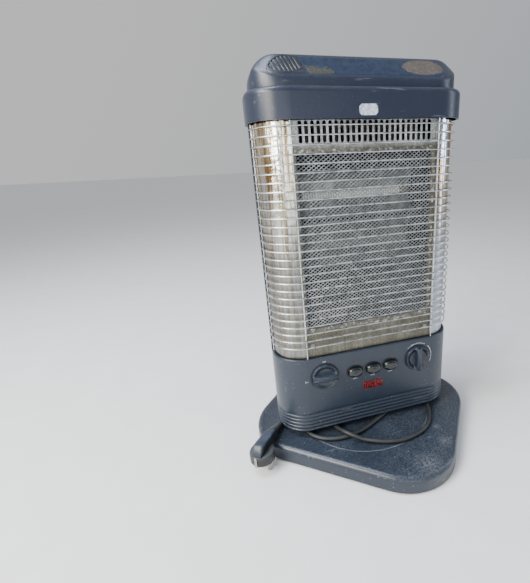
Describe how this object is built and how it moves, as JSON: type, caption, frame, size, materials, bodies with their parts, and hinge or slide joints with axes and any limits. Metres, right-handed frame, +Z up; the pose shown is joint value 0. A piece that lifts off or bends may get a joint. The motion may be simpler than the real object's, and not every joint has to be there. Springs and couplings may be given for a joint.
{
  "type": "ceramic space heater",
  "caption": "Upright electric heater with wire guard, mesh window, dial controls and lid, swinging on a low rounded foot, with its mains cord and plug.",
  "frame": {"origin": "on the floor, on the swivel axis, at the centre of the foot", "axes": "+Z up; -Y is the way the upright body faces; +X is to the right of someone facing the body's front"},
  "size_m": [0.3932, 0.3919, 0.575],
  "materials": {
    "slate_plastic": "moulded slate blue-grey plastic, satin, dusty",
    "knob_plastic": "slate plastic, fine grain",
    "black_plastic": "black plastic, half gloss",
    "red_lens": "transparent red plastic",
    "label_film": "printed film, glossy, worn",
    "sticker_paper": "blank paper sticker",
    "bare_sheet": "bare sheet, dulled",
    "reflector_sheet": "polished reflector sheet",
    "mesh_steel": "fine steel mesh in a bright frame",
    "guard_wire": "plated steel wire",
    "steel": "zinc-plated steel",
    "quartz": "frosted quartz tube",
    "white_ceramic": "unglazed ceramic",
    "neon_glass": "small glass lamp",
    "cord_rubber": "black flexible cord, dusty",
    "foot_rubber": "soft black rubber",
    "brass": "nickel-plated brass"
  },
  "bodies": {
    "foot": {"base_shell": "slate_plastic", "base_plate": "steel", "base_feet": "foot_rubber", "base_screws": "steel", "swivel_bush": "black_plastic", "swing_motor": "steel", "cord_gland": "cord_rubber", "cord_lead": "cord_rubber", "cord_coil": "cord_rubber", "coil_tie": "cord_rubber", "cord_tail": "cord_rubber", "plug_body": "cord_rubber", "plug_pins": "brass", "plug_earth_clips": "brass"},
    "heater": {"pivot_shaft": "steel", "swing_arm": "steel", "retaining_ring": "steel", "swivel_collar": "slate_plastic", "bottom_cover": "slate_plastic", "control_housing": "slate_plastic", "lamp_lens": "red_lens", "pilot_lamp": "neon_glass", "button_marks": "red_lens", "rotary_switch": "black_plastic", "thermostat": "black_plastic", "push_switches": "black_plastic", "terminal_block": "black_plastic", "tip_switch": "black_plastic", "rear_shell": "slate_plastic", "rear_screws": "steel", "top_band": "slate_plastic", "blank_sticker": "sticker_paper", "top_lid": "slate_plastic", "lid_vent_insert": "slate_plastic", "lid_label": "label_film", "front_plate": "bare_sheet", "front_screws": "steel", "left_cheek": "reflector_sheet", "right_cheek": "reflector_sheet", "mesh_frame": "mesh_steel", "mesh_panel": "mesh_steel", "heating_tube_upper": "quartz", "heating_tube_lower": "quartz", "element_caps": "white_ceramic", "reflector_upper": "reflector_sheet", "reflector_lower": "reflector_sheet", "heat_shield": "bare_sheet", "thermal_cutout": "steel", "fan_motor": "steel", "fan_bearing": "black_plastic", "fan_scroll": "black_plastic", "ceramic_heater": "white_ceramic", "wire_guard": "guard_wire"},
    "crank": {"swing_crank": "steel"},
    "fan": {"fan_rotor": "black_plastic"},
    "power_knob": {"power_knob": "knob_plastic"},
    "thermostat_knob": {"thermostat_knob": "knob_plastic"},
    "button_left": {"button_left": "black_plastic"},
    "button_middle": {"button_middle": "black_plastic"},
    "button_right": {"button_right": "black_plastic"}
  },
  "joints": [
    {"name": "body_swing", "type": "hinge", "parent": "foot", "child": "heater", "pos_m": [0, 0, 0.0285], "axis": [0, 0, 1], "range_deg": [-77.8, 0]},
    {"name": "crank_spin", "type": "hinge", "parent": "foot", "child": "crank", "pos_m": [0.03768, 0.04669, 0.017], "axis": [0, 0, 1], "continuous": true},
    {"name": "fan_spin", "type": "hinge", "parent": "heater", "child": "fan", "pos_m": [0, -0.008, 0.477], "axis": [1, 0, 0], "continuous": true},
    {"name": "power_knob_turn", "type": "hinge", "parent": "heater", "child": "power_knob", "pos_m": [-0.0794, -0.055, 0.134], "axis": [0, 1, 0], "range_deg": [0, 90]},
    {"name": "thermostat_knob_turn", "type": "hinge", "parent": "heater", "child": "thermostat_knob", "pos_m": [0.0794, -0.055, 0.134], "axis": [0, 1, 0], "range_deg": [-135, 135]},
    {"name": "button_left_push", "type": "slide", "parent": "heater", "child": "button_left", "axis": [0, 1, 0], "range_m": [0, 0.003], "stiffness_N_per_m": 600},
    {"name": "button_middle_push", "type": "slide", "parent": "heater", "child": "button_middle", "axis": [0, 1, 0], "range_m": [0, 0.003], "stiffness_N_per_m": 600},
    {"name": "button_right_push", "type": "slide", "parent": "heater", "child": "button_right", "axis": [0, 1, 0], "range_m": [0, 0.003], "stiffness_N_per_m": 600}
  ]
}
